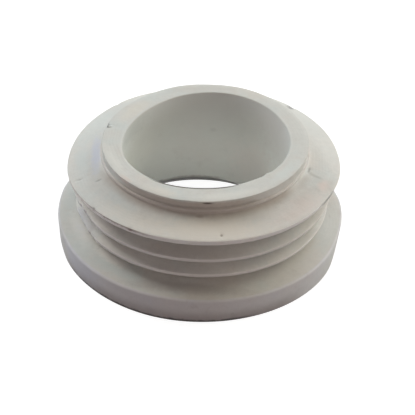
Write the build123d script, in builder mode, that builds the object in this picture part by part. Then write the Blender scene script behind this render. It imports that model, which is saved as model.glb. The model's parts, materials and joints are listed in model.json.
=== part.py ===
from build123d import *
from math import cos, radians, sin, tan
import os

# Flush pipe connector: one rubber moulding that seals a flush pipe into the inlet of a WC pan.
# It is a ring of one section: a tube with a smooth bore for the pipe, three conical sealing fins that bend
# back as they are pushed into the pan, a thick flange that stops against the pan, and a plain collar above
# the fins, with a fine ledge and a recessed neck under it. It stands on its flange. The origin is the middle
# of the flange's underside, with +Z along the bore towards the collar. Sizes are in millimetres and degrees.

# Tube and collar
bore_diameter = 38.0
collar_wall = 4.05
collar_height = 2.0
collar_step = 0.4
ledge_height = 0.45
neck_recess = 0.45
lead_in_height = 2.25
lead_in_depth = 2.0

# Flange
flange_reach = 9.45
flange_thickness = 6.3
flange_edge_draft = 4.0
flange_top_slope = 2.0

# Fins: reach is from the tube to the upper edge of the tip, rise is from the edge below to that same edge
lower_fin_reach = 5.4
middle_fin_reach = 5.75
upper_fin_reach = 7.0
lower_fin_rise = 4.0
middle_fin_rise = 4.4
upper_fin_rise = 5.7
collar_rise = 5.1
lower_fin_tip = 1.0
middle_fin_tip = 1.0
upper_fin_tip = 1.3
fin_top_slope = 15.5
fin_underside_slope = 9.0

# Rounded and eased corners
root_chamfer = 0.5
tip_chamfer = 0.15
collar_chamfer = 0.2
mouth_chamfer = 0.3
flange_fillet = 0.5
flange_foot_chamfer = 0.5

# Radii and heights that follow from the driving sizes
bore_radius = bore_diameter / 2
collar_radius = bore_radius + collar_wall
tube_radius = collar_radius + collar_step
flange_radius = tube_radius + flange_reach
flange_foot_radius = flange_radius - flange_thickness * tan(radians(flange_edge_draft))

lower_fin_height = flange_thickness + lower_fin_rise
middle_fin_height = lower_fin_height + middle_fin_rise
upper_fin_height = middle_fin_height + upper_fin_rise
total_height = upper_fin_height + collar_rise
step_height = total_height - collar_height

FINS = (
    (lower_fin_reach, lower_fin_height, lower_fin_tip),
    (middle_fin_reach, middle_fin_height, middle_fin_tip),
    (upper_fin_reach, upper_fin_height, upper_fin_tip),
)


def height_at(radius, edge_radius, edge_height, slope):
    """Height, at a radius, of a conical face that falls outwards to its edge."""
    return edge_height + (edge_radius - radius) * tan(radians(slope))


def fin_tip(reach, height, thickness):
    """Upper and lower corner of a fin's tip, whose face is square to the fin's upper face."""
    upper = (tube_radius + reach, height)
    lower = (
        upper[0] - thickness * sin(radians(fin_top_slope)),
        upper[1] - thickness * cos(radians(fin_top_slope)),
    )
    return upper, lower


def fin_outline(reach, height, thickness):
    """Corners of one fin's section, carried inwards to the middle of the tube's wall."""
    upper, lower = fin_tip(reach, height, thickness)
    inner = (bore_radius + tube_radius) / 2
    return (
        (inner, height_at(inner, *lower, fin_underside_slope)),
        lower,
        upper,
        (inner, height_at(inner, *upper, fin_top_slope)),
    )


def flange_outline():
    """Corners of the flange's section, whose upper face falls a little towards its edge."""
    edge = (flange_radius, flange_thickness)
    inner = (bore_radius + tube_radius) / 2
    return (
        (inner, 0),
        (flange_foot_radius, 0),
        edge,
        (inner, height_at(inner, *edge, flange_top_slope)),
    )


def neck_outline():
    """Corners of the recess between the ledge under the collar and the upper fin."""
    edge = (tube_radius + upper_fin_reach, upper_fin_height)
    neck_radius = tube_radius - neck_recess
    return (
        (tube_radius, step_height - ledge_height),
        (neck_radius, height_at(neck_radius, *edge, fin_top_slope)),
        (tube_radius, height_at(tube_radius, *edge, fin_top_slope)),
    )


def at(vertices, *points):
    """The vertices nearest to some points of the section."""
    return [vertices.sort_by_distance(Vector(*point))[0] for point in points]


with BuildPart() as connector_body:
    with BuildSketch(Plane.XZ) as section:
        with Locations((bore_radius, 0)):
            Rectangle(tube_radius - bore_radius, step_height, align=(Align.MIN, Align.MIN))
            Rectangle(collar_wall, total_height, align=(Align.MIN, Align.MIN))
        Polygon(*flange_outline(), align=None)
        for fin in FINS:
            Polygon(*fin_outline(*fin), align=None)
        Polygon(*neck_outline(), align=None, mode=Mode.SUBTRACT)
        Polygon(
            (bore_radius, 0),
            (bore_radius + lead_in_depth, 0),
            (bore_radius, lead_in_height),
            align=None,
            mode=Mode.SUBTRACT,
        )

        tip_edges = [fin_tip(*fin)[0] for fin in FINS]
        roots = section.vertices().filter_by(
            lambda v: abs(v.X - tube_radius) < 0.001 and v.Y < upper_fin_height
        )
        chamfer(roots, root_chamfer)
        chamfer(at(section.vertices(), *tip_edges), tip_chamfer)
        chamfer(at(section.vertices(), (collar_radius, total_height)), collar_chamfer)
        chamfer(at(section.vertices(), (bore_radius, total_height)), mouth_chamfer)
        chamfer(at(section.vertices(), (flange_foot_radius, 0)), flange_foot_chamfer)
        fillet(at(section.vertices(), (flange_radius, flange_thickness)), flange_fillet)
    revolve(axis=Axis.Z)

connector_body.part.label = "connector_body"

os.makedirs("parts", exist_ok=True)
export_step(connector_body.part, "parts/connector_body.step")

print("flange diameter", round(2 * flange_radius, 2), "height", round(total_height, 2))
print("fin diameters", [round(2 * (tube_radius + reach), 2) for reach, height, tip in FINS])
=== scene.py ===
import json
from math import atan2, cos, degrees, exp, hypot, pi, radians, sin, tan

import bpy
from mathutils import Matrix, Vector, noise


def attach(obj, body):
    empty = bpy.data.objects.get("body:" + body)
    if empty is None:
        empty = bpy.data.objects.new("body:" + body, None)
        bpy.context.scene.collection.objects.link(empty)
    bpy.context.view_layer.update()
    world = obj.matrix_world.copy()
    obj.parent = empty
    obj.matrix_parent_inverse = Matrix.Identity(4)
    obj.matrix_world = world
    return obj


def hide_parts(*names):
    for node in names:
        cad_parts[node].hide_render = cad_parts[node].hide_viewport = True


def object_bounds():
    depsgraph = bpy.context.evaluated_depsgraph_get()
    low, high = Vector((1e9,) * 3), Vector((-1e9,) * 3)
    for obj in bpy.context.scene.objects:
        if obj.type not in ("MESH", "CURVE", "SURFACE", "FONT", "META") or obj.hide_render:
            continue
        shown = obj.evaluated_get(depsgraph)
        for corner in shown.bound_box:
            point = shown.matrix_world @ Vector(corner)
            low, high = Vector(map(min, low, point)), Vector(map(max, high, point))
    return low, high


# A finned rubber connector for a flush pipe, standing on its flange.
# Sizes are in millimetres. Angles are in degrees, anticlockwise from the right, seen from above.

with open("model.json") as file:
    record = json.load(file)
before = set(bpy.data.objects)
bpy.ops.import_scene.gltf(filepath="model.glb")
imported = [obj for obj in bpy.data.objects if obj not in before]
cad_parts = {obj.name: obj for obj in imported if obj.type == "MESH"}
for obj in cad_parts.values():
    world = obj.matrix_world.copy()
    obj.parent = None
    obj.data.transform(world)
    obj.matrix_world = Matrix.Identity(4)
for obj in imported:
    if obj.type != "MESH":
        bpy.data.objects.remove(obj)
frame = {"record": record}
cad_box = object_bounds()

MM = 0.001

# Section of the ring
pipe_bore = next(mount for mount in frame["record"]["mounts"] if mount["name"] == "pipe_bore")
BORE = pipe_bore["dims"]["r_mm"]
HEIGHT = cad_box[1][2] / MM
COLLAR = 23.05
COLLAR_HEIGHT = 2.0
COLLAR_STEP = 0.4
MOUTH_EDGE = 0.5

TUBE = COLLAR + COLLAR_STEP
STEP_HEIGHT = HEIGHT - COLLAR_HEIGHT
BURR_HEIGHT = 0.38
LEDGE_HEIGHT = 0.45
NECK_DEPTH = 0.45
NECK = TUBE - NECK_DEPTH
FLANGE = 32.9
FLANGE_THICKNESS = 6.3
FLANGE_EDGE_SLOPE = tan(radians(4.0))
FLANGE_FOOT = FLANGE - FLANGE_THICKNESS * FLANGE_EDGE_SLOPE
FLANGE_SLOPE = tan(radians(2.0))
# Width of the strip of the foot's underside that is near-black with painted contact shadow
CONTACT_SHADE_STRIP = 0.9
LEAD_IN_DEPTH = 2.0
LEAD_IN_HEIGHT = 2.25
FIN_SLOPE = radians(15.5)
FIN_UNDERSIDE = tan(radians(9.0))

# Roundings of the section's corners, none where a run only changes its finish
STRAIGHT = 0.0
MOUTH_ROUNDING = 0.3
COLLAR_ROUNDING = 0.12
STEP_ROUNDING = 0.06
NECK_ROUNDING = 0.35
ROOT_ROUNDING = 0.8
TIP_ROUNDING = 0.14
GROOVE_ROUNDING = 0.6
FLANGE_ROUNDING = 0.5
FOOT_ROUNDING = 0.45
LEAD_IN_ROUNDING = 0.15
BORE_ROUNDING = 0.4

# Each fin: radius and height of the tip's upper edge, and the tip's thickness
FINS = {
    "upper": (30.45, 20.4, 1.3),
    "middle": (29.2, 14.7, 1.0),
    "lower": (28.85, 10.3, 1.0),
}

# Mesh of the ring: segments round it, the longest step along each run, and pieces of a rounded corner
SEGMENTS = 700
FIN_STEPS = {"upper": 0.52, "middle": 1.1, "lower": 1.1}
LIP_STEPS = {"upper": 0.16, "middle": 0.3, "lower": 0.3}
UNDERSIDE_STEP = 2.4
COLLAR_FACE_STEP = 1.0
FLANGE_FACE_STEP = 1.4
PLAIN_STEP = 4.0
FINE_ROUNDING = 0.25
FINE_PIECES = 2
ROUND_PIECES = 4
LEAST_TURN = 1e-4

# The soft ring out of true: sideways shift and tilt of its top, and oval and lobes of its mouth
LEAN = Vector((0.674, 0.162))
TILT = Vector((0.0275, 0.0167))
OVAL_SHIFT = Vector((0.288, 0.215))
OVAL_STRETCH = Matrix(((-0.0177, 0.0234), (0.0234, 0.0172)))

MOUTH_LOBES = 3
MOUTH_CREST = radians(325.8)
MOUTH_BULGE = 0.36

# Waves of each fin's tip: number of lobes, angle of a crest, height of a crest
WAVES = {
    "upper": ((3, 265.0, 0.12), (4, 250.0, 0.04)),
    "middle": ((3, 245.0, 0.12), (5, 80.0, 0.03)),
    "lower": ((3, 247.0, 0.12), (4, 20.0, 0.03)),
}

# Ragged trimming of each fin's tip: usual depth, extra depth, and the middle and half width of the extra
TRIMMING = {
    "upper": (0.03, 0.05, 222.0, 18.0),
    "middle": (0.03, 0.36, 204.0, 13.0),
    "lower": (0.03, 0.28, 207.0, 13.0),
}
TRIMMING_POWER = 6

# A burr on the collar's upper edge, in the same terms
COLLAR_BURR = (0.04, 0.15, 250.0, 55.0)

# Lumps of the ragged edges: size, share and layer of the noise
TRIMMING_LUMPS = ((2.4, 1.0, 0), (0.9, 0.7, 3))
BURR_LUMPS = ((3.0, 0.6, 6), (1.0, 0.4, 7))
SEAM_LUMPS = ((1.2, 0.4, 8),)
LAYER_GAP = 7.3

# Where an edge goes past a true circle, or stays short of it: middle angle, half width, distance
OUT_OF_ROUND = {
    "mouth": (
        (221.0, 15.0, -0.20),
        (272.0, 48.0, -0.62),
        (305.0, 14.0, -0.20),
    ),
    "collar": (
        (72.0, 20.0, 0.55),
        (104.0, 16.0, 0.50),
    ),
    "upper": (
        (70.0, 20.0, 0.45),
        (100.0, 16.0, 0.40),
        (125.0, 14.0, 0.45),
        (197.0, 17.0, 0.47),
        (348.0, 14.0, 0.33),
    ),
    "middle": ((208.0, 9.0, -0.55),),
    "lower": ((202.0, 10.0, -0.30),),
    "flange": (
        (12.0, 10.0, 0.35),
        (164.0, 12.0, 0.42),
        (202.0, 10.0, -0.20),
        (344.0, 14.0, -0.40),
    ),
    "foot": (
        (196.0, 8.0, -0.21),
        (255.0, 24.0, 0.24),
        (347.0, 9.0, -0.38),
    ),
    "lead_in": ((66.0, 18.0, 0.38),),
}

# A seam on the edge of the upper fin, where the mould's halves met
SEAM_MIDDLE = 222.0
SEAM_HALF_WIDTH = 20.0
SEAM_FADE = 1.5
SEAM_DEPTH = 0.34

# Place and half height of the seam, as shares of the edge from its top
SEAM_PLACE = 0.25
SEAM_HALF_HEIGHT = 0.13

# Course of a radial fold in the upper fin: it bends at the tube, sways and ends short of the tip
FOLD_ANGLE = 342.2
FOLD_BEND = 4.4
FOLD_BEND_REACH = 0.8
FOLD_SWAY = 0.6
FOLD_SWAY_RATE = 1.1
FOLD_SWAY_START = -1.9
FOLD_END = 27.2
FOLD_END_FADE = 0.4

# Profile across the fold
FOLD_DROP = 0.16
FOLD_DROP_FADE = 0.14
FOLD_DROP_REACH = 3.0
FOLD_RIDGE = 0.05
FOLD_RIDGE_HALF_WIDTH = 0.25

# Dents: angle, radius, height, half length round the ring, half width, and depth, below zero for a bump
DENTS = (
    (278.3, 28.84, 20.85, 0.30, 0.30, 0.30),
    (268.6, 23.95, 22.00, 0.70, 0.35, 0.20),
    (272.5, 23.05, 24.90, 1.00, 0.16, 0.20),
    (240.3, 30.45, 20.35, 0.40, 0.35, 0.16),
    (47.0, 30.45, 20.40, 0.80, 0.50, 0.18),
    (220.0, 30.45, 20.30, 0.60, 0.40, 0.25),
    (337.0, 30.45, 20.35, 0.90, 0.45, 0.22),
    (133.8, 30.45, 20.40, 0.60, 0.40, 0.20),
    (316.2, 19.00, 25.50, 0.70, 0.35, -0.22),
    (167.5, 23.05, 25.40, 0.70, 0.45, 0.32),
    (161.5, 23.60, 22.60, 0.80, 0.50, -0.25),
    (157.2, 25.20, 21.85, 0.50, 0.35, -0.18),
    (205.9, 25.50, 21.75, 0.26, 0.60, 0.18),
    (199.8, 29.00, 20.80, 0.26, 0.75, 0.15),
    (346.0, 24.00, 22.15, 0.70, 0.30, 0.22),
    (283.8, 32.60, 2.20, 0.45, 0.30, 0.12),
    (5.8, 30.50, 6.40, 1.20, 0.22, 0.05),
    (357.5, 29.90, 6.40, 1.00, 0.20, 0.05),
)
DENT_REACH = 2.6


def fin_corners(name):
    """Root, tip and underside corners of a fin's section, from its upper root to its lower root."""
    radius, height, thickness = FINS[name]
    root_radius, root_rounding = (NECK, NECK_ROUNDING) if name == "upper" else (TUBE, ROOT_ROUNDING)
    low_radius = radius - thickness * sin(FIN_SLOPE)
    low_height = height - thickness * cos(FIN_SLOPE)
    root = height + (radius - root_radius) * tan(FIN_SLOPE)
    low_root = low_height + (low_radius - TUBE) * FIN_UNDERSIDE
    return (
        (root_radius, root, root_rounding, name, "face", FIN_STEPS[name]),
        (radius, height, TIP_ROUNDING, name, "lip", LIP_STEPS[name]),
        (low_radius, low_height, TIP_ROUNDING, name, "groove", UNDERSIDE_STEP),
        (TUBE, low_root, GROOVE_ROUNDING, "tube", "groove", UNDERSIDE_STEP),
    )


def section_corners():
    """Corners of the closed section: radius, height, rounding, then the part, finish and step that follow."""
    corners = [
        (BORE, HEIGHT, MOUTH_ROUNDING, "collar", "mouth", COLLAR_FACE_STEP),
        (BORE + MOUTH_EDGE, HEIGHT, STRAIGHT, "collar", "collar", COLLAR_FACE_STEP),
        (COLLAR, HEIGHT, COLLAR_ROUNDING, "burr", "collar", COLLAR_FACE_STEP),
        (COLLAR, HEIGHT - BURR_HEIGHT, STRAIGHT, "collar", "collar", COLLAR_FACE_STEP),
        (COLLAR, STEP_HEIGHT, STEP_ROUNDING, "collar", "groove", COLLAR_FACE_STEP),
        (TUBE, STEP_HEIGHT, COLLAR_ROUNDING, "collar", "groove", COLLAR_FACE_STEP),
        (TUBE, STEP_HEIGHT - LEDGE_HEIGHT, COLLAR_ROUNDING, "collar", "groove", COLLAR_FACE_STEP),
    ]
    for name in FINS:
        corners.extend(fin_corners(name))
    flange_root = FLANGE_THICKNESS + (FLANGE - TUBE) * FLANGE_SLOPE
    corners.extend((
        (TUBE, flange_root, GROOVE_ROUNDING, "flange", "face", FLANGE_FACE_STEP),
        (FLANGE, FLANGE_THICKNESS, FLANGE_ROUNDING, "flange", "rim", FLANGE_FACE_STEP),
        # The foot's rounding, a strip of its underside and the lead-in are near-black: painted contact shadow
        (FLANGE_FOOT, 0.0, FOOT_ROUNDING, "foot", "grimy", PLAIN_STEP),
        (FLANGE_FOOT - CONTACT_SHADE_STRIP, 0.0, STRAIGHT, "foot", "face", PLAIN_STEP),
        (BORE + LEAD_IN_DEPTH, 0.0, LEAD_IN_ROUNDING, "lead_in", "grimy", PLAIN_STEP),
        (BORE, LEAD_IN_HEIGHT, BORE_ROUNDING, "bore", "bore", PLAIN_STEP),
    ))
    return corners


def rounded_corner(before, corner, after, rounding):
    """Points of the arc that rounds a corner, or the corner itself where the run goes straight on."""
    here = Vector(corner)
    back = (Vector(before) - here).normalized()
    ahead = (Vector(after) - here).normalized()
    half = back.angle(ahead) / 2
    turn = pi - 2 * half
    if turn < LEAST_TURN:
        return [here]
    reach = rounding / tan(half)
    centre = here + (back + ahead).normalized() * rounding / sin(half)
    start = here + back * reach - centre
    if back.cross(ahead) > 0:
        turn = -turn
    pieces = FINE_PIECES if rounding < FINE_ROUNDING else ROUND_PIECES
    points = []
    for i in range(pieces + 1):
        spin = Matrix.Rotation(turn * i / pieces, 2)
        points.append(centre + spin @ start)
    return points


def section_points():
    """The closed section as points, each with the part and the finish of the run that follows it."""
    corners = section_corners()
    count = len(corners)
    arcs = []
    for i, corner in enumerate(corners):
        before = corners[i - 1][:2]
        after = corners[(i + 1) % count][:2]
        arcs.append(rounded_corner(before, corner[:2], after, corner[2]))
    points = []
    for i, corner in enumerate(corners):
        part, finish, step = corner[3:]
        points.extend((point, part, finish) for point in arcs[i])
        start = arcs[i][-1]
        run = arcs[(i + 1) % count][0] - start
        pieces = max(1, round(run.length / step))
        points.extend((start + run * k / pieces, part, finish) for k in range(1, pieces))
    return points


def turned(angle):
    """An angle brought to between -180 and 180 degrees."""
    return (angle + 180) % 360 - 180


def near(angle, middle, half_width):
    """1 at a middle angle, fading to 0 on both sides of it."""
    return exp(-(turned(angle - middle) / half_width) ** 2)


def unevenness(angle, size, layer):
    """A smooth random value for an angle round the ring, with lumps of about the given size."""
    place = Vector((cos(radians(angle)), sin(radians(angle)), 0)) * FLANGE / size
    return noise.noise(place + Vector((0, 0, LAYER_GAP * layer)))


def raggedness(angle, lumps, layer=0):
    """The lumps of a ragged edge at an angle, added up."""
    return sum(share * unevenness(angle, size, layer + lump_layer) for size, share, lump_layer in lumps)


def fin_wave(name, angle):
    """Height of a fin's tip above its true cone."""
    return sum(height * cos(radians(lobes * (angle - crest))) for lobes, crest, height in WAVES[name])


def fin_trimming(name, angle):
    """How far a fin's trimmed tip stands out from a true circle."""
    usual, extra, middle, half_width = TRIMMING[name]
    layer = list(FINS).index(name)
    depth = usual + extra * near(angle, middle, half_width)
    return depth * raggedness(angle, TRIMMING_LUMPS, layer)


def out_of_round(edge, angle):
    """How far an edge goes past a true circle."""
    places = OUT_OF_ROUND.get(edge, ())
    return sum(distance * near(angle, middle, half_width) for middle, half_width, distance in places)


def collar_burr(angle):
    """How far the collar's upper edge stands out as a thin burr."""
    usual, extra, middle, half_width = COLLAR_BURR
    depth = usual + extra * near(angle, middle, half_width)
    return depth * (1 + raggedness(angle, BURR_LUMPS))


def seam_cut(angle, place):
    """Depth of the seam in the upper fin's edge, at a place from 0 at its top to 1 at its bottom."""
    along = 1 / (1 + exp((abs(turned(angle - SEAM_MIDDLE)) - SEAM_HALF_WIDTH) / SEAM_FADE))
    across = exp(-((place - SEAM_PLACE) / SEAM_HALF_HEIGHT) ** 2)
    return SEAM_DEPTH * along * across * (1 + raggedness(angle, SEAM_LUMPS))


def fold_lift(angle, radius):
    """Height of the radial fold: the fin drops a little in front of it, and its edge is a fine ridge."""
    bend = FOLD_BEND * exp(-(radius - TUBE) / FOLD_BEND_REACH)
    sway = FOLD_SWAY * sin((radius - TUBE) * FOLD_SWAY_RATE + FOLD_SWAY_START)
    fade = 1 / (1 + exp((radius - FOLD_END) / FOLD_END_FADE))
    away = radians(turned(angle - FOLD_ANGLE - bend - sway)) * radius
    drop = -FOLD_DROP / (1 + exp(away / FOLD_DROP_FADE)) * exp(min(away, 0) / FOLD_DROP_REACH)
    ridge = FOLD_RIDGE * exp(-(away / FOLD_RIDGE_HALF_WIDTH) ** 2)
    return (drop + ridge) * fade


def shaped(point, part, finish, angle):
    """A point of the section as it is at an angle: waved, out of round, trimmed, seamed and folded."""
    radius, height = point
    if part == "burr":
        radius += collar_burr(angle)
    if part in FINS:
        tip, tip_height, thickness = FINS[part]
        share = max(0.0, (radius - TUBE) / (tip - TUBE))
        height += share * share * fin_wave(part, angle)
        radius += share * share * out_of_round(part, angle)
        radius += share ** TRIMMING_POWER * fin_trimming(part, angle)
        if part == "upper" and finish == "lip":
            place = (tip_height - point.y) / (thickness * cos(FIN_SLOPE))
            radius -= seam_cut(angle, place)
        if part == "upper" and finish == "face":
            height += fold_lift(angle, radius)
    if part in ("collar", "burr"):
        share = max(0.0, (radius - BORE) / (COLLAR - BORE))
        rise = max(0.0, (height - STEP_HEIGHT) / (HEIGHT - STEP_HEIGHT))
        radius += share * rise * out_of_round("collar", angle)
    if part == "lead_in":
        radius += out_of_round(part, angle)
    if part in ("flange", "foot"):
        share = max(0.0, (radius - TUBE) / (FLANGE - TUBE))
        rise = height / FLANGE_THICKNESS
        radius += share * (rise * out_of_round("flange", angle) + (1 - rise) * out_of_round("foot", angle))
    return radius, height


def dent_depth(dents, angle, radius, height):
    """How deep a place lies in the dents."""
    depth = 0.0
    for dent_angle, dent_radius, dent_height, half_length, half_width, dent in dents:
        along = radians(turned(angle - dent_angle)) * radius / half_length
        across = hypot(radius - dent_radius, height - dent_height) / half_width
        depth += dent * exp(-along * along - across * across)
    return depth


def dents_near(angle):
    """The dents that reach an angle."""
    return [
        dent for dent in DENTS
        if radians(abs(turned(angle - dent[0]))) * dent[1] < DENT_REACH * dent[3]
    ]


def settled(point):
    """A point of the true ring, moved as the soft ring leans, tilts and goes out of round towards its top."""
    share = point.z / HEIGHT
    inward = max(0.0, min(1.0, (COLLAR - hypot(point.x, point.y)) / (COLLAR - BORE)))
    flat = point.xy
    angle = atan2(flat.y, flat.x)
    bulge = MOUTH_BULGE * cos(MOUTH_LOBES * (angle - MOUTH_CREST))
    bulge += out_of_round("mouth", degrees(angle))
    flat += (OVAL_SHIFT + OVAL_STRETCH @ flat + flat.normalized() * bulge) * share * share * inward
    flat += LEAN * share
    return Vector((flat.x, flat.y, point.z + TILT.dot(flat) * share))


def outward_directions(points):
    """The outward direction of the section at each of its points."""
    count = len(points)
    directions = []
    for i in range(count):
        along = points[(i + 1) % count][0] - points[i - 1][0]
        directions.append(Vector((-along.y, along.x)).normalized())
    return directions


def connector_mesh():
    """The ring, turned about the bore's axis, with a material for each finish."""
    points = section_points()
    directions = outward_directions(points)
    count = len(points)
    vertices = []
    for i in range(SEGMENTS):
        angle = 360 * i / SEGMENTS
        dents = dents_near(angle)
        ahead = cos(radians(angle))
        aside = sin(radians(angle))
        for (point, part, finish), outward in zip(points, directions):
            radius, height = shaped(point, part, finish, angle)
            if dents:
                depth = dent_depth(dents, angle, radius, height)
                radius -= depth * outward.x
                height -= depth * outward.y
            vertices.append(settled(Vector((radius * ahead, radius * aside, height))) * MM)
    faces = []
    finishes = []
    for i in range(SEGMENTS):
        row = i * count
        following = (i + 1) % SEGMENTS * count
        for j in range(count):
            k = (j + 1) % count
            faces.append((row + j, row + k, following + k, following + j))
            finishes.append(FINISHES.index(points[j][2]))
    mesh = bpy.data.meshes.new("rubber_connector")
    mesh.from_pydata(vertices, [], faces)
    mesh.polygons.foreach_set("use_smooth", [True] * len(faces))
    mesh.polygons.foreach_set("material_index", finishes)
    mesh.update()
    return mesh


# Node helpers


def feed(tree, socket, value):
    """Links a socket to another one, or sets it to a plain value."""
    if isinstance(value, bpy.types.NodeSocket):
        tree.links.new(value, socket)
    else:
        socket.default_value = value


def math(tree, operation, first, second=0.0):
    """The result of a maths node."""
    made = tree.nodes.new("ShaderNodeMath")
    made.operation = operation
    feed(tree, made.inputs[0], first)
    feed(tree, made.inputs[1], second)
    return made.outputs[0]


def vector_math(tree, operation, first, second=(0, 0, 0)):
    """The result of a vector maths node: a number for a length or a dot product."""
    made = tree.nodes.new("ShaderNodeVectorMath")
    made.operation = operation
    feed(tree, made.inputs[0], first)
    feed(tree, made.inputs[1], second)
    return made.outputs["Value" if operation in ("LENGTH", "DOT_PRODUCT") else "Vector"]


def ramp(tree, value, start, end, low=0.0, high=1.0):
    """A smooth step from low at the start value to high at the end value."""
    made = tree.nodes.new("ShaderNodeMapRange")
    made.interpolation_type = "SMOOTHSTEP"
    feed(tree, made.inputs["Value"], value)
    feed(tree, made.inputs["From Min"], start)
    feed(tree, made.inputs["From Max"], end)
    feed(tree, made.inputs["To Min"], low)
    feed(tree, made.inputs["To Max"], high)
    return made.outputs["Result"]


def mixed(tree, share, first, second, blend="MIX"):
    """Two colours mixed by a share of the second one."""
    made = tree.nodes.new("ShaderNodeMix")
    made.data_type = "RGBA"
    made.blend_type = blend
    feed(tree, made.inputs[0], share)
    feed(tree, made.inputs[6], first)
    feed(tree, made.inputs[7], second)
    return made.outputs[2]


def cloud(tree, place, scale, detail=2.0, roughness=0.5):
    """Smooth noise from 0 to 1."""
    made = tree.nodes.new("ShaderNodeTexNoise")
    feed(tree, made.inputs["Vector"], place)
    feed(tree, made.inputs["Scale"], scale)
    feed(tree, made.inputs["Detail"], detail)
    feed(tree, made.inputs["Roughness"], roughness)
    return made.outputs["Fac"]


def place_in_mm(tree):
    """The place on the object, in millimetres."""
    where = tree.nodes.new("ShaderNodeTexCoord")
    return vector_math(tree, "MULTIPLY", where.outputs["Object"], (1 / MM, 1 / MM, 1 / MM))


def new_group(name, inputs, outputs):
    """A shader node group with named sockets, and its input and output nodes."""
    tree = bpy.data.node_groups.new(name, "ShaderNodeTree")
    for label, kind in inputs:
        tree.interface.new_socket(name=label, in_out="INPUT", socket_type=kind)
    for label, kind in outputs:
        tree.interface.new_socket(name=label, in_out="OUTPUT", socket_type=kind)
    return tree, tree.nodes.new("NodeGroupInput").outputs, tree.nodes.new("NodeGroupOutput").inputs


def placed_group(tree, group, **values):
    """A group placed in a material, with its inputs set by name."""
    made = tree.nodes.new("ShaderNodeGroup")
    made.node_tree = group
    for label, value in values.items():
        feed(tree, made.inputs[label], value)
    return made.outputs


# Effects that the finishes share

RING_CLOSENESS = 9.0
RING_WANDER = 1.6
SPECK_CLOSENESS = 0.36
SPECK_RARITY = 0.72
SPECK_SIZE = 0.12
STAIN_RAGGEDNESS = 0.9


def clouded_tint_group():
    """Broad warm and cool clouds and a fine mottle over a pale colour."""
    tree, given, result = new_group(
        "clouded_tint",
        (
            ("Pale", "NodeSocketColor"),
            ("Warm", "NodeSocketColor"),
            ("Cool", "NodeSocketColor"),
            ("Patch", "NodeSocketFloat"),
            ("Mottle", "NodeSocketFloat"),
        ),
        (("Colour", "NodeSocketColor"),),
    )
    place = place_in_mm(tree)
    scale = math(tree, "DIVIDE", 1.0, given["Patch"])
    broad = cloud(tree, place, scale, detail=3.0, roughness=0.55)
    colour = mixed(tree, ramp(tree, broad, start=0.50, end=0.72), given["Pale"], given["Warm"])
    colour = mixed(tree, ramp(tree, broad, start=0.50, end=0.28), colour, given["Cool"])
    fine = cloud(tree, place, scale=0.9, detail=4.0, roughness=0.6)
    swing = math(tree, "MULTIPLY", math(tree, "SUBTRACT", fine, 0.5), given["Mottle"])
    shade = math(tree, "ADD", swing, 1.0)
    grey = tree.nodes.new("ShaderNodeCombineColor")
    for channel in grey.inputs:
        feed(tree, channel, shade)
    feed(tree, result["Colour"], mixed(tree, 1.0, colour, grey.outputs[0], "MULTIPLY"))
    return tree


def moulded_skin_group():
    """Height and roughness of a moulded rubber skin: fine grain, soft dimples and faint turning rings."""
    tree, given, result = new_group(
        "moulded_skin",
        (
            ("Grain", "NodeSocketFloat"),
            ("Dimples", "NodeSocketFloat"),
            ("Rings", "NodeSocketFloat"),
        ),
        (
            ("Height", "NodeSocketFloat"),
            ("Roughness", "NodeSocketFloat"),
        ),
    )
    place = place_in_mm(tree)
    grain = cloud(tree, place, scale=3.6, roughness=0.6)
    dimples = cloud(tree, place, scale=0.55)
    flat = vector_math(tree, "MULTIPLY", place, (1, 1, 0))
    radius = vector_math(tree, "LENGTH", flat)
    wander = math(tree, "MULTIPLY", cloud(tree, place, scale=0.12, detail=1.0), RING_WANDER)
    rings = math(tree, "SINE", math(tree, "MULTIPLY", math(tree, "ADD", radius, wander), RING_CLOSENESS))
    height = math(tree, "MULTIPLY", grain, given["Grain"])
    height = math(tree, "ADD", height, math(tree, "MULTIPLY", dimples, given["Dimples"]))
    height = math(tree, "ADD", height, math(tree, "MULTIPLY", rings, given["Rings"]))
    feed(tree, result["Height"], height)
    feed(tree, result["Roughness"], ramp(tree, dimples, start=0.25, end=0.75, low=0.58, high=0.74))
    return tree


def handling_grime_group():
    """Faint smudges and a few dark specks over a colour."""
    tree, given, result = new_group(
        "handling_grime",
        (
            ("Colour", "NodeSocketColor"),
            ("Grime", "NodeSocketColor"),
            ("Smudges", "NodeSocketFloat"),
            ("Specks", "NodeSocketFloat"),
        ),
        (("Colour", "NodeSocketColor"),),
    )
    place = place_in_mm(tree)
    smudge = cloud(tree, place, scale=0.2, detail=5.0, roughness=0.68)
    smudge = ramp(tree, smudge, start=0.54, end=0.74)
    smudge = math(tree, "MULTIPLY", smudge, given["Smudges"])
    cells = tree.nodes.new("ShaderNodeTexVoronoi")
    feed(tree, cells.inputs["Vector"], place)
    feed(tree, cells.inputs["Scale"], SPECK_CLOSENESS)
    split = tree.nodes.new("ShaderNodeSeparateColor")
    feed(tree, split.inputs[0], cells.outputs["Color"])
    few = math(tree, "GREATER_THAN", split.outputs[0], SPECK_RARITY)
    size = math(tree, "MULTIPLY", split.outputs[1], SPECK_SIZE)
    dot = math(tree, "LESS_THAN", cells.outputs["Distance"], size)
    speck = math(tree, "MULTIPLY", math(tree, "MULTIPLY", few, dot), given["Specks"])
    share = math(tree, "MAXIMUM", smudge, speck)
    feed(tree, result["Colour"], mixed(tree, share, given["Colour"], given["Grime"]))
    return tree


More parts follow.
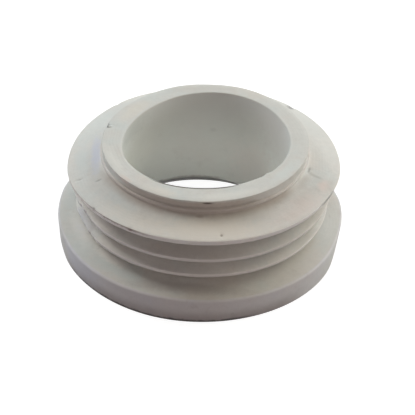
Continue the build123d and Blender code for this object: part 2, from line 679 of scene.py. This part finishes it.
def stain_and_painted_light_group():
    """One soft-edged stain or patch of painted light or shade, over a colour. Its reach is radial, round the
    ring and upward.
    """
    tree, given, result = new_group(
        "stain",
        (
            ("Colour", "NodeSocketColor"),
            ("Stain", "NodeSocketColor"),
            ("Centre", "NodeSocketVector"),
            ("Turn", "NodeSocketFloat"),
            ("Reach", "NodeSocketVector"),
            ("Strength", "NodeSocketFloat"),
        ),
        (("Colour", "NodeSocketColor"),),
    )
    place = place_in_mm(tree)
    offset = vector_math(tree, "SUBTRACT", place, given["Centre"])
    spin = tree.nodes.new("ShaderNodeVectorRotate")
    spin.rotation_type = "Z_AXIS"
    feed(tree, spin.inputs["Vector"], offset)
    feed(tree, spin.inputs["Angle"], math(tree, "MULTIPLY", given["Turn"], -1.0))
    share = vector_math(tree, "DIVIDE", spin.outputs["Vector"], given["Reach"])
    distance = vector_math(tree, "LENGTH", share)
    ragged = math(tree, "SUBTRACT", cloud(tree, place, scale=0.8, detail=3.0, roughness=0.6), 0.5)
    ragged = math(tree, "MULTIPLY", ragged, STAIN_RAGGEDNESS)
    mask = ramp(tree, math(tree, "ADD", distance, ragged), start=1.15, end=0.2)
    mask = math(tree, "MULTIPLY", mask, given["Strength"])
    feed(tree, result["Colour"], mixed(tree, mask, given["Colour"], given["Stain"]))
    return tree


def painted_shade_band_group():
    """A colour that gets painted shade between two values of the radius or height, where the ring faces one
    way.
    """
    tree, given, result = new_group(
        "soiled_band",
        (
            ("Colour", "NodeSocketColor"),
            ("Soil", "NodeSocketColor"),
            ("By Radius", "NodeSocketFloat"),
            ("By Height", "NodeSocketFloat"),
            ("Clean", "NodeSocketFloat"),
            ("Soiled", "NodeSocketFloat"),
            ("Facing", "NodeSocketVector"),
            ("Start", "NodeSocketFloat"),
            ("Full", "NodeSocketFloat"),
        ),
        (("Colour", "NodeSocketColor"),),
    )
    place = place_in_mm(tree)
    split = tree.nodes.new("ShaderNodeSeparateXYZ")
    feed(tree, split.inputs[0], place)
    x, y, height = split.outputs
    # The place goes back to the true ring, before it leaned and tilted
    tilt = math(tree, "ADD", math(tree, "MULTIPLY", x, TILT.x), math(tree, "MULTIPLY", y, TILT.y))
    height = math(tree, "DIVIDE", height, math(tree, "ADD", math(tree, "DIVIDE", tilt, HEIGHT), 1.0))
    x = math(tree, "SUBTRACT", x, math(tree, "MULTIPLY", height, LEAN.x / HEIGHT))
    y = math(tree, "SUBTRACT", y, math(tree, "MULTIPLY", height, LEAN.y / HEIGHT))
    squares = math(tree, "ADD", math(tree, "MULTIPLY", x, x), math(tree, "MULTIPLY", y, y))
    radius = math(tree, "SQRT", squares)
    by_radius = math(tree, "MULTIPLY", radius, given["By Radius"])
    by_height = math(tree, "MULTIPLY", height, given["By Height"])
    measure = math(tree, "ADD", by_radius, by_height)
    ragged = math(tree, "SUBTRACT", cloud(tree, place, scale=0.5, detail=3.0, roughness=0.6), 0.5)
    share = ramp(tree, math(tree, "ADD", measure, ragged), given["Clean"], given["Soiled"])
    facing = math(tree, "DIVIDE", vector_math(tree, "DOT_PRODUCT", place, given["Facing"]), radius)
    share = math(tree, "MULTIPLY", share, ramp(tree, facing, given["Start"], given["Full"]))
    feed(tree, result["Colour"], mixed(tree, share, given["Colour"], given["Soil"]))
    return tree


clouded_tint = clouded_tint_group()
moulded_skin = moulded_skin_group()
handling_grime = handling_grime_group()
stain = stain_and_painted_light_group()
soiled_band = painted_shade_band_group()

# Colours of the stains and of the painted light and shade
# Painted cool light from the left
PAINTED_COOL_LIGHT = (0.67, 0.69, 0.77, 1)
PINK = (0.78, 0.69, 0.64, 1)
ROSE = (0.74, 0.60, 0.53, 1)
SAND = (0.72, 0.68, 0.61, 1)
# Painted light, a little paler than the faces
PAINTED_SOFT_LIGHT = (0.73, 0.72, 0.675, 1)
# Painted light, lightening places that lie in shade
PAINTED_LIGHT = (0.90, 0.885, 0.845, 1)
FAWN = (0.59, 0.57, 0.53, 1)
BEIGE = (0.79, 0.745, 0.67, 1)
# Painted shade of the fins, at the front
PAINTED_FRONT_SHADE = (0.52, 0.49, 0.46, 1)
ASH = (0.63, 0.63, 0.60, 1)
PEWTER = (0.58, 0.58, 0.585, 1)
SEA_GREY = (0.66, 0.71, 0.69, 1)
BROWN = (0.22, 0.15, 0.12, 1)
GREY = (0.30, 0.29, 0.28, 1)
SOOT = (0.05, 0.035, 0.03, 1)
SHADOW_GREEN = (0.57, 0.585, 0.555, 1)
# Painted light
PAINTED_WARM_LIGHT = (0.98, 0.945, 0.91, 1)
# Painted shade
PAINTED_BORE_SHADE = (0.69, 0.68, 0.66, 1)

# Stains, and patches of painted light and shade, of each finish: angle, radius, height,
# reach (radial, round the ring, upward), colour, strength
STAINS_AND_PAINTED_LIGHT = {
    "face": (
        (272.0, 27.5, 21.3, (4.5, 20.0, 3.0), BEIGE, 0.7),
        (236.0, 28.0, 21.2, (3.5, 9.0, 3.0), BEIGE, 0.5),
        (35.0, 28.0, 21.2, (5.0, 14.0, 3.0), ASH, 0.75),
        # Painted cool light on the upper fin's face next to the collar, on the left
        (184.0, 24.3, 22.0, (1.5, 9.0, 2.0), PAINTED_COOL_LIGHT, 0.85),
        (318.0, 28.0, 21.2, (3.4, 9.0, 2.0), PINK, 0.55),
        (338.6, 28.4, 21.0, (1.8, 2.6, 1.5), PINK, 0.85),
        (137.0, 28.0, 21.2, (4.0, 10.0, 3.0), ASH, 0.75),
        (185.0, 27.5, 21.2, (2.5, 7.0, 1.5), SEA_GREY, 0.6),
        (231.0, 28.5, 6.4, (3.5, 9.0, 1.5), SEA_GREY, 0.7),
        (348.0, 29.5, 6.4, (4.0, 13.0, 1.5), SEA_GREY, 0.6),
        (168.0, 29.5, 6.4, (4.0, 13.0, 1.5), SEA_GREY, 0.5),
        (155.0, 28.0, 21.2, (4.0, 9.0, 3.0), SEA_GREY, 0.45),
        # Painted cool light on the lower fins, on the left
        (199.0, 28.3, 9.5, (2.2, 4.0, 4.0), PAINTED_COOL_LIGHT, 0.7),
        # Painted shadow of the fins on the flange, at the front
        (266.0, 28.8, 6.5, (2.2, 17.0, 1.5), PAINTED_FRONT_SHADE, 0.6),
        # Painted light on the flange under the lower fin, on the left
        (213.0, 26.2, 6.5, (1.8, 8.0, 1.5), PAINTED_SOFT_LIGHT, 0.6),
        # Painted light on the flange under the lower fin, on the right
        (317.0, 26.2, 6.5, (1.8, 8.0, 1.5), PAINTED_SOFT_LIGHT, 0.6),
        # Painted light on the flange in the lower fin's shadow, on the left
        (226.0, 27.3, 6.5, (1.8, 6.5, 1.5), PAINTED_LIGHT, 0.8),
        # Painted light on the flange under the fins, on the left
        (200.0, 28.6, 6.4, (2.0, 9.0, 1.5), PAINTED_LIGHT, 0.35),
        # Painted light on the flange under the fins, on the right
        (352.0, 30.3, 6.4, (2.5, 8.0, 1.5), PAINTED_LIGHT, 0.25),
        (325.0, 27.6, 10.8, (2.5, 5.0, 2.0), ASH, 0.6),
        (204.0, 27.8, 10.8, (2.6, 7.0, 2.0), PEWTER, 0.8),
        # Painted light on the middle fin's face under the upper fin, on the left
        (217.0, 27.3, 15.2, (3.5, 6.5, 2.5), PAINTED_LIGHT, 0.9),
        (333.0, 24.0, 22.2, (1.6, 4.5, 1.5), FAWN, 0.8),
        (341.0, 29.5, 20.7, (1.5, 3.5, 1.2), FAWN, 0.5),
        # Painted light on the upper fin's face, at the front right
        (309.0, 26.6, 21.5, (2.0, 6.0, 1.5), PAINTED_LIGHT, 0.4),
        # Painted shade on the middle fin's face under the upper fin, at the front
        (266.0, 27.0, 15.3, (3.5, 16.0, 2.0), PAINTED_FRONT_SHADE, 0.4),
        # Painted shade on the lower fins' faces, at the front
        (262.0, 27.5, 12.5, (4.0, 9.0, 4.0), PAINTED_FRONT_SHADE, 0.35),
        (268.6, 23.9, 22.1, (0.5, 1.1, 0.5), BROWN, 0.3),
        (278.3, 28.84, 20.8, (0.4, 0.4, 0.6), BROWN, 0.6),
        (160.5, 23.7, 22.8, (0.5, 0.8, 0.6), GREY, 0.5),
        (205.9, 25.5, 21.8, (0.9, 0.35, 0.6), GREY, 0.45),
        (199.8, 29.0, 20.8, (1.1, 0.35, 0.6), GREY, 0.3),
        (345.2, 24.0, 22.2, (0.35, 1.3, 0.6), GREY, 0.6),
        (47.3, 29.7, 20.6, (1.1, 1.3, 0.9), GREY, 0.85),
        (5.8, 30.5, 6.4, (0.3, 1.3, 0.5), GREY, 0.12),
        (357.5, 29.9, 6.4, (0.3, 1.1, 0.5), GREY, 0.12),
    ),
    "collar": (
        (146.0, 20.8, 25.5, (2.6, 7.0, 1.0), SAND, 0.5),
        (246.0, 22.0, 25.5, (2.0, 5.0, 1.0), SAND, 0.6),
        (222.0, 22.7, 25.2, (0.8, 2.4, 0.8), ROSE, 0.8),
        (327.0, 21.5, 25.5, (2.0, 7.0, 1.0), SEA_GREY, 0.5),
        # Painted light on the collar's top, at the front right
        (285.0, 22.0, 25.5, (2.0, 15.0, 1.2), PAINTED_SOFT_LIGHT, 0.7),
        # Painted light on the collar's top, at the front left
        (205.0, 22.0, 25.5, (2.0, 12.0, 1.2), PAINTED_SOFT_LIGHT, 0.7),
        (92.0, 21.3, 25.5, (3.0, 14.0, 1.2), FAWN, 0.6),
        (272.5, 23.05, 24.9, (0.5, 1.5, 0.26), SOOT, 0.85),
        (166.5, 23.1, 25.2, (0.7, 1.2, 0.8), GREY, 0.8),
    ),
    "lip": (
        (240.3, 30.3, 20.1, (0.6, 0.8, 0.5), BROWN, 0.55),
        (47.3, 30.3, 20.2, (0.8, 1.2, 0.8), GREY, 0.9),
        (220.0, 30.3, 20.2, (0.8, 0.8, 0.6), BROWN, 0.5),
        # Painted cool light on the lower fins' edges, on the left
        (200.0, 28.9, 11.5, (1.5, 4.5, 4.0), PAINTED_COOL_LIGHT, 0.7),
        (207.0, 29.1, 14.3, (1.0, 4.0, 1.2), PEWTER, 0.8),
        (205.0, 28.7, 10.0, (1.2, 6.0, 1.4), PEWTER, 0.7),
        # Painted shade along the upper fin's edge at the front right, running into a dark nick
        (333.0, 30.3, 20.0, (1.2, 4.2, 1.2), GREY, 0.75),
    ),
    "rim": (
        # Painted cool light on the rim, on the left
        (216.0, 32.8, 4.0, (2.0, 12.0, 4.0), PAINTED_COOL_LIGHT, 0.5),
        (198.0, 32.8, 3.0, (2.0, 6.0, 4.0), ASH, 0.5),
        (338.0, 32.8, 3.0, (2.0, 10.0, 4.0), ASH, 0.6),
        (283.8, 32.6, 2.2, (0.6, 0.6, 0.5), GREY, 0.15),
    ),
    "bore": (
        (84.3, 19.0, 15.7, (0.6, 1.3, 0.7), GREY, 0.12),
        (160.0, 19.0, 23.5, (3.0, 9.0, 4.0), SHADOW_GREEN, 0.6),
        # Painted light on the lower bore wall, at the back right
        (48.0, 19.0, 8.0, (5.0, 9.0, 9.0), PAINTED_WARM_LIGHT, 0.85),
        # Painted shade on the upper bore wall, at the right
        (24.0, 19.0, 21.0, (5.0, 11.0, 10.0), PAINTED_BORE_SHADE, 0.85),
    ),
}


def with_stains_and_painted_light(tree, colour, finish):
    """A colour with all the stains and patches of painted light and shade of a finish over it."""
    for angle, radius, height, reach, tint, strength in STAINS_AND_PAINTED_LIGHT.get(finish, ()):
        turn = radians(angle)
        centre = settled(Vector((radius * cos(turn), radius * sin(turn), height)))
        layer = placed_group(
            tree, stain, Colour=colour, Stain=tint, Centre=centre, Turn=turn, Reach=reach, Strength=strength
        )
        colour = layer["Colour"]
    return colour


# Bands of painted shade of each finish: shade colour, what is measured, its value unshaded and fully shaded,
# and the middle angle and half width of the stretch of the ring that is shaded
ALL_ROUND = (0.0, 180.0)
PAINTED_SHADE_BANDS = {
    # Painted shade of the collar on the upper fin's face next to the neck, at the front
    "face": (((0.49, 0.45, 0.405, 1), "Radius", 25.6, 23.1, 263.0, 53.0),),
    "collar": (
        # Painted shade under the collar's burr, with some dirt, then painted shade on the collar's side above
        # the ledge, at the front
        ((0.53, 0.49, 0.44, 1), "Height", 25.5, 24.6, 260.0, 30.0),
        ((0.40, 0.37, 0.33, 1), "Height", 24.3, 23.5, 262.0, 34.0),
    ),
    # The mouth's rounded edge painted near-black as shade, at the front
    "mouth": (((0.12, 0.11, 0.10, 1), "Height", 0.0, 10.0, 263.0, 21.0),),
    # Painted shade in the neck under the ledge, at the front
    "groove": (((0.54, 0.50, 0.46, 1), "Height", 22.0, 22.8, 256.0, 38.0),),
    "lip": (
        # Painted shade: the middle and lower fins' edges darker all round, and the upper fin's edge darker
        # above its seam
        ((0.81, 0.785, 0.755, 1), "Height", 18.5, 16.0, *ALL_ROUND),
        ((0.50, 0.45, 0.42, 1), "Height", 19.85, 20.1, 222.0, 18.0),
    ),
    "rim": (
        # Painted shade: the rim darker towards the floor at the front, with a near-black painted contact
        # shadow at its foot
        ((0.45, 0.42, 0.41, 1), "Height", 4.2, 0.2, 258.0, 46.0),
        ((0.05, 0.045, 0.045, 1), "Height", 1.1, 0.4, 250.0, 32.0),
    ),
    "bore": (
        # Painted shade: the bore darker towards its mouth all round, and a darker band painted as shade above
        # the lead-in at the back
        ((0.67, 0.68, 0.65, 1), "Height", 10.0, 26.0, *ALL_ROUND),
        ((0.48, 0.47, 0.45, 1), "Height", 3.1, 2.2, 110.0, 26.0),
    ),
}
BAND_FADE = 15.0

# Start and end of the fade of a band all round: below any cosine
NO_FADE = (-3.0, -2.0)


def with_painted_shade(tree, colour, finish):
    """A colour with all the bands of painted shade of a finish over it."""
    for band_shade, measure, unshaded, fully_shaded, middle, half_width in PAINTED_SHADE_BANDS.get(finish, ()):
        turn = radians(middle)
        start = cos(radians(half_width + BAND_FADE))
        full = cos(radians(half_width))
        if (middle, half_width) == ALL_ROUND:
            start, full = NO_FADE
        values = {
            "Colour": colour,
            "Soil": band_shade,
            "By Radius": float(measure == "Radius"),
            "By Height": float(measure == "Height"),
            "Clean": unshaded,
            "Soiled": fully_shaded,
            "Facing": (cos(turn), sin(turn), 0.0),
            "Start": start,
            "Full": full,
        }
        colour = placed_group(tree, soiled_band, **values)["Colour"]
    return colour


def rubber(name, pale, warm, cool, patch, mottle, grime, smudges, specks, skin, finish):
    """A rubber finish: clouded colour, grime, stains, and painted light and shade over a moulded skin."""
    material = bpy.data.materials.new(name)
    material.use_nodes = True
    tree = material.node_tree
    shader = tree.nodes["Principled BSDF"]
    tint = placed_group(tree, clouded_tint, Pale=pale, Warm=warm, Cool=cool, Patch=patch, Mottle=mottle)
    worn = placed_group(
        tree, handling_grime, Colour=tint["Colour"], Grime=grime, Smudges=smudges, Specks=specks
    )
    feed(tree, shader.inputs["Base Color"], with_stains_and_painted_light(tree, with_painted_shade(tree, worn["Colour"], finish), finish))
    grain, dimples, rings = skin
    surface = placed_group(tree, moulded_skin, Grain=grain, Dimples=dimples, Rings=rings)
    feed(tree, shader.inputs["Roughness"], surface["Roughness"])
    bump = tree.nodes.new("ShaderNodeBump")
    bump.inputs["Strength"].default_value = 0.6
    bump.inputs["Distance"].default_value = 0.05 * MM
    feed(tree, bump.inputs["Height"], surface["Height"])
    feed(tree, shader.inputs["Normal"], bump.outputs["Normal"])
    shader.inputs["Specular IOR Level"].default_value = 0.3
    return material


def face_rubber():
    """The moulded upper faces: pale grey with warm and cool clouds."""
    return rubber(
        "moulded_face",
        pale=(0.725, 0.715, 0.675, 1), warm=(0.735, 0.705, 0.655, 1), cool=(0.70, 0.72, 0.69, 1),
        patch=9.0, mottle=0.15, grime=(0.50, 0.46, 0.42, 1), smudges=0.25, specks=0.05,
        skin=(0.5, 2.0, 0.12), finish="face",
    )


def collar_rubber():
    """The collar's top and side."""
    return rubber(
        "moulded_collar",
        pale=(0.64, 0.635, 0.60, 1), warm=(0.65, 0.625, 0.58, 1), cool=(0.62, 0.64, 0.615, 1),
        patch=8.0, mottle=0.13, grime=(0.48, 0.44, 0.40, 1), smudges=0.2, specks=0.04,
        skin=(0.5, 1.6, 0.12), finish="collar",
    )


def mouth_rubber():
    """The inner edge of the collar's top."""
    return rubber(
        "rounded_mouth",
        pale=(0.66, 0.66, 0.625, 1), warm=(0.66, 0.645, 0.60, 1), cool=(0.64, 0.655, 0.63, 1),
        patch=8.0, mottle=0.08, grime=(0.48, 0.44, 0.40, 1), smudges=0.2, specks=0.0,
        skin=(0.5, 1.0, 0.0), finish="mouth",
    )


def lip_rubber():
    """The trimmed edges of the fins, paler than the faces: painted light on the edges."""
    return rubber(
        "trimmed_lip",
        pale=(0.93, 0.90, 0.875, 1), warm=(0.93, 0.88, 0.84, 1), cool=(0.91, 0.90, 0.885, 1),
        patch=4.0, mottle=0.14, grime=(0.42, 0.37, 0.34, 1), smudges=0.35, specks=0.1,
        skin=(0.8, 1.2, 0.0), finish="lip",
    )


def groove_rubber():
    """The ledge and neck under the collar and the grooves under the fins, where dust stays."""
    return rubber(
        "dusty_groove",
        pale=(0.70, 0.67, 0.64, 1), warm=(0.69, 0.65, 0.61, 1), cool=(0.68, 0.67, 0.65, 1),
        patch=5.0, mottle=0.12, grime=(0.40, 0.35, 0.32, 1), smudges=0.4, specks=0.1,
        skin=(0.6, 1.0, 0.05), finish="groove",
    )


def rim_rubber():
    """The flange's edge."""
    return rubber(
        "flange_rim",
        pale=(0.72, 0.71, 0.71, 1), warm=(0.72, 0.70, 0.69, 1), cool=(0.70, 0.70, 0.72, 1),
        patch=8.0, mottle=0.10, grime=(0.45, 0.40, 0.38, 1), smudges=0.3, specks=0.06,
        skin=(0.6, 1.2, 0.0), finish="rim",
    )


def bore_rubber():
    """The wall of the bore, smoother than the outside and paler: painted light in the bore."""
    return rubber(
        "smooth_bore",
        pale=(0.915, 0.935, 0.90, 1), warm=(0.92, 0.925, 0.89, 1), cool=(0.905, 0.935, 0.91, 1),
        patch=12.0, mottle=0.05, grime=(0.62, 0.60, 0.57, 1), smudges=0.2, specks=0.03,
        skin=(0.35, 0.8, 0.0), finish="bore",
    )


def contact_shade_rubber():
    """The lead-in and the foot of the flange's edge, near-black: a painted contact shadow."""
    return rubber(
        "grimy_foot",
        pale=(0.20, 0.19, 0.18, 1), warm=(0.20, 0.18, 0.16, 1), cool=(0.19, 0.19, 0.18, 1),
        patch=5.0, mottle=0.25, grime=(0.12, 0.105, 0.095, 1), smudges=0.6, specks=0.4,
        skin=(0.6, 1.0, 0.0), finish="grimy",
    )


RUBBER_OF_FINISH = {
    "face": face_rubber,
    "collar": collar_rubber,
    "mouth": mouth_rubber,
    "lip": lip_rubber,
    "groove": groove_rubber,
    "rim": rim_rubber,
    "bore": bore_rubber,
    "grimy": contact_shade_rubber,
}
FINISHES = tuple(RUBBER_OF_FINISH)

connector = bpy.data.objects.new("rubber_connector", connector_mesh())
bpy.context.scene.collection.objects.link(connector)
for make_rubber in RUBBER_OF_FINISH.values():
    connector.data.materials.append(make_rubber())
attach(connector, "root")
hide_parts("connector_body")


# Camera, floor and light

IMAGE_SIZE = 415
CAMERA_DISTANCE = 300.0
CAMERA_ELEVATION = radians(37.1)
FOCAL_PIXELS = 1276.6
AIM_PIXEL = (199.4, 230.8)
CENTRE_PIXEL = 207.0
CAMERA_ROLL = radians(2.24)


def photo_camera():
    """The photograph's view: the origin lands on the aim pixel, with a slight roll."""
    away = Vector((0, cos(CAMERA_ELEVATION), -sin(CAMERA_ELEVATION)))
    side = Vector((1, 0, 0))
    rise = side.cross(away)
    across = (CENTRE_PIXEL - AIM_PIXEL[0]) / FOCAL_PIXELS
    upward = (AIM_PIXEL[1] - CENTRE_PIXEL) / FOCAL_PIXELS
    forward = (away + side * across + rise * upward).normalized()
    right = (side - forward * side.dot(forward)).normalized()
    up = right.cross(forward)
    turned_right = right * cos(CAMERA_ROLL) + up * sin(CAMERA_ROLL)
    turned_up = up * cos(CAMERA_ROLL) - right * sin(CAMERA_ROLL)
    lens = bpy.data.cameras.new("photo_camera")
    lens.sensor_fit = "HORIZONTAL"
    lens.sensor_width = 36.0
    lens.lens = lens.sensor_width * FOCAL_PIXELS / IMAGE_SIZE
    lens.clip_start = 0.01
    camera = bpy.data.objects.new("photo_camera", lens)
    place = Matrix((turned_right, turned_up, -forward)).transposed().to_4x4()
    place.translation = -away * CAMERA_DISTANCE * MM
    camera.matrix_world = place
    bpy.context.scene.collection.objects.link(camera)
    bpy.context.scene.camera = camera


def seen_directly(tree):
    """A value of 1 for rays that show the background: camera, glossy and transmission rays."""
    path = tree.nodes.new("ShaderNodeLightPath").outputs
    shown = math(tree, "MAXIMUM", path["Is Camera Ray"], path["Is Glossy Ray"])
    return math(tree, "MAXIMUM", shown, path["Is Transmission Ray"])


FLOOR_GREY = (0.28, 0.28, 0.28, 1)
FLOOR_GLOW = 0.93


def floor():
    """A pale floor: white where it is seen, with the object's soft shadow, and darker for bounced light."""
    mesh = bpy.data.meshes.new("floor")
    half = 1.5
    drop = -0.04 * MM
    mesh.from_pydata(
        [(-half, -half, drop), (half, -half, drop), (half, half, drop), (-half, half, drop)],
        [],
        [(0, 1, 2, 3)],
    )
    plane = bpy.data.objects.new("floor", mesh)
    bpy.context.scene.collection.objects.link(plane)
    material = bpy.data.materials.new("pale_floor")
    material.use_nodes = True
    tree = material.node_tree
    tree.nodes.remove(tree.nodes["Principled BSDF"])
    glow = tree.nodes.new("ShaderNodeEmission")
    glow.inputs["Strength"].default_value = FLOOR_GLOW
    shaded = tree.nodes.new("ShaderNodeBsdfDiffuse")
    shaded.inputs["Color"].default_value = FLOOR_GREY
    white = tree.nodes.new("ShaderNodeAddShader")
    feed(tree, white.inputs[0], glow.outputs[0])
    feed(tree, white.inputs[1], shaded.outputs[0])
    choose = tree.nodes.new("ShaderNodeMixShader")
    feed(tree, choose.inputs[0], seen_directly(tree))
    feed(tree, choose.inputs[1], shaded.outputs[0])
    feed(tree, choose.inputs[2], white.outputs[0])
    feed(tree, tree.nodes["Material Output"].inputs["Surface"], choose.outputs[0])
    mesh.materials.append(material)


LAMP_DISTANCE = 0.8
LAMP_SIZE = 0.4


def soft_lamp(name, azimuth, elevation, watts, colour):
    """A round lamp that faces the object. Azimuth 0 is behind the object, and 90 is on its right."""
    lamp = bpy.data.lights.new(name, "AREA")
    lamp.shape = "DISK"
    lamp.size = LAMP_SIZE
    lamp.energy = watts
    lamp.color = colour
    turn = radians(azimuth)
    rise = radians(elevation)
    place = Vector((sin(turn) * cos(rise), cos(turn) * cos(rise), sin(rise))) * LAMP_DISTANCE
    holder = bpy.data.objects.new(name, lamp)
    holder.location = place
    holder.rotation_euler = (-place).to_track_quat("-Z", "Y").to_euler()
    bpy.context.scene.collection.objects.link(holder)


def room_light():
    """Faint light from all round, and a white background."""
    world = bpy.data.worlds.new("room")
    bpy.context.scene.world = world
    world.use_nodes = True
    tree = world.node_tree
    around = tree.nodes["Background"]
    around.inputs["Color"].default_value = (1.0, 0.97, 0.94, 1)
    around.inputs["Strength"].default_value = 0.004
    behind = tree.nodes.new("ShaderNodeBackground")
    behind.inputs["Color"].default_value = (1, 1, 1, 1)
    behind.inputs["Strength"].default_value = 1.0
    choose = tree.nodes.new("ShaderNodeMixShader")
    feed(tree, choose.inputs[0], seen_directly(tree))
    feed(tree, choose.inputs[1], around.outputs[0])
    feed(tree, choose.inputs[2], behind.outputs[0])
    feed(tree, tree.nodes["World Output"].inputs["Surface"], choose.outputs[0])


photo_camera()
floor()
room_light()
soft_lamp("back_right_lamp", 30, 38, 1.79, (0.875, 0.90, 1.0))
soft_lamp("side_right_lamp", 60, 38, 1.26, (1.0, 0.91, 0.72))
soft_lamp("middle_right_lamp", 60, 24, 1.25, (0.90, 0.985, 1.0))
soft_lamp("right_lamp", 90, 38, 0.69, (1.0, 0.93, 0.72))
soft_lamp("low_right_lamp", 90, 4, 1.68, (0.98, 0.98, 1.0))
soft_lamp("back_left_lamp", 330, 38, 1.20, (0.72, 0.89, 1.0))
soft_lamp("side_left_lamp", 300, 38, 2.98, (1.0, 0.99, 0.94))
soft_lamp("low_left_lamp", 270, 4, 0.77, (0.72, 0.79, 1.0))
soft_lamp("low_front_lamp", 180, 4, 0.80, (1.0, 0.78, 0.80))
soft_lamp("front_fill", 180, 38, 0.72, (1.0, 0.86, 0.79))

bpy.context.scene.view_settings.view_transform = "Standard"

bpy.context.view_layer.update()
